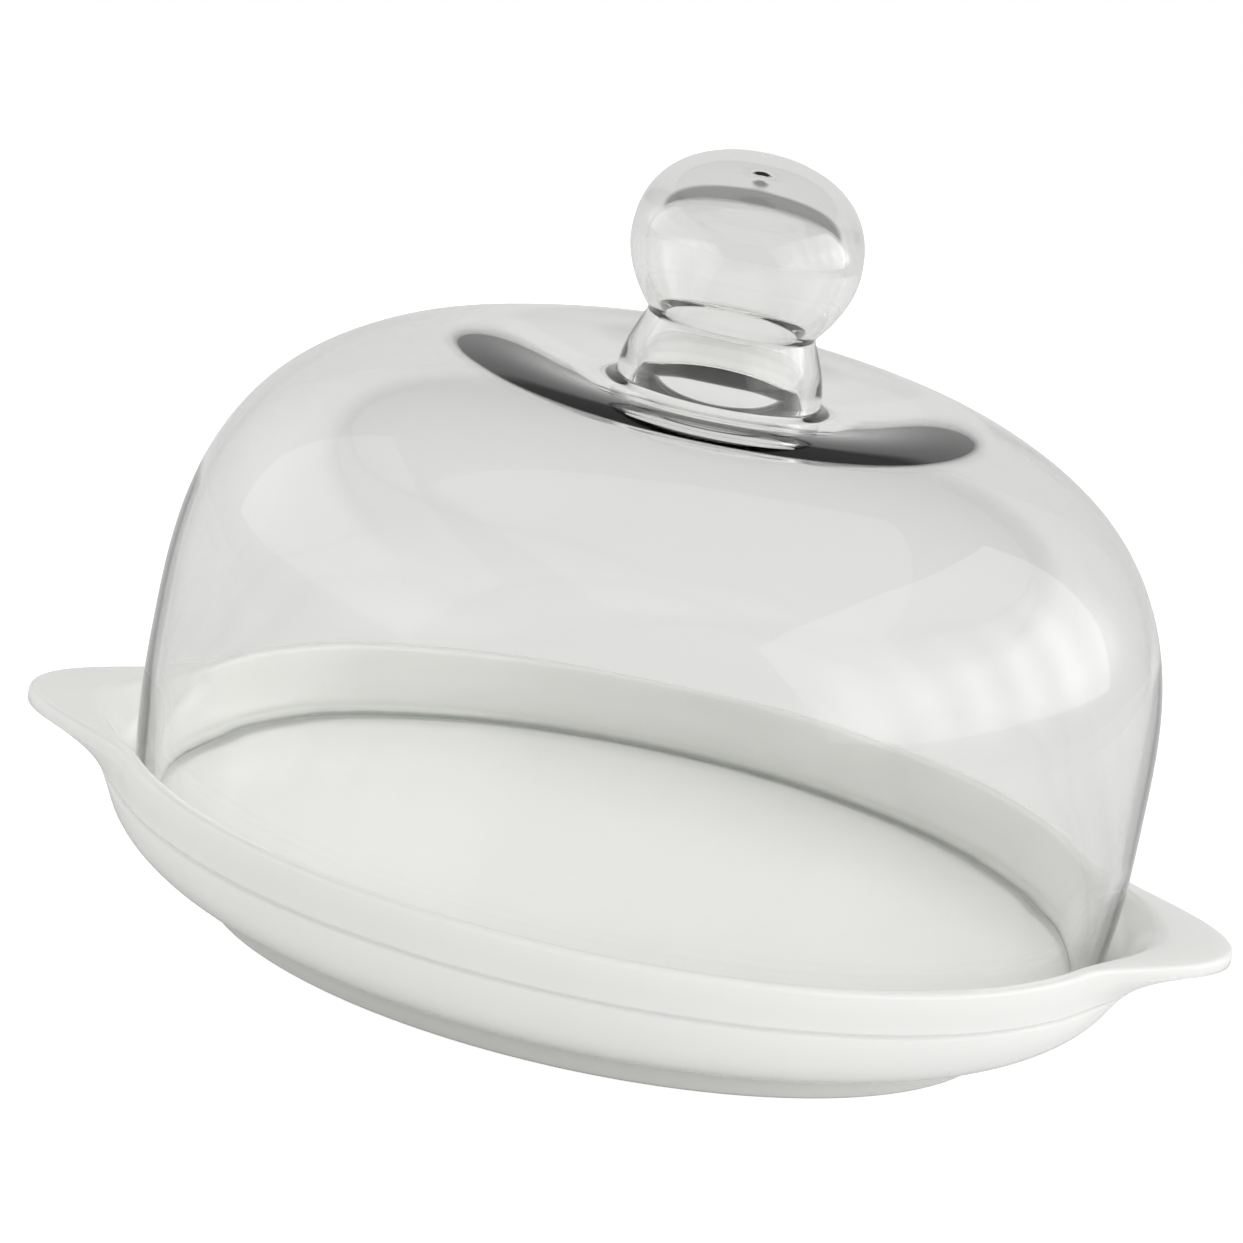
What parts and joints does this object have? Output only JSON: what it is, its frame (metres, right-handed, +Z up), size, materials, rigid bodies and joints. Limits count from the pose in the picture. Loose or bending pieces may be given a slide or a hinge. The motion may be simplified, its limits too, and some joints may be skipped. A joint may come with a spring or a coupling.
{
  "type": "cake dome",
  "caption": "Round white porcelain serving dish with small ear handles and a lift-off clear glass dome with a hollow ball knob, for covering a cake or cheese on the table.",
  "frame": {"origin": "on the table, under the centre of the dish, in the plane of the foot ring's underside", "axes": "+X along the line from ear to ear, +Y to the back, +Z up along the axis of the dish and the dome"},
  "size_m": [0.22, 0.1868, 0.1482],
  "materials": {
    "porcelain": "white gloss glaze",
    "dome_glass": "clear, polished",
    "knob_glass": "clear, polished"
  },
  "bodies": {
    "dish": {"serving_dish": "porcelain"},
    "cover": {"glass_dome": "dome_glass", "glass_knob": "knob_glass"}
  },
  "joints": [
    {"name": "dome_lift", "type": "slide", "parent": "dish", "child": "cover", "axis": [0, 0, 1], "range_m": [0, 0.16]}
  ]
}
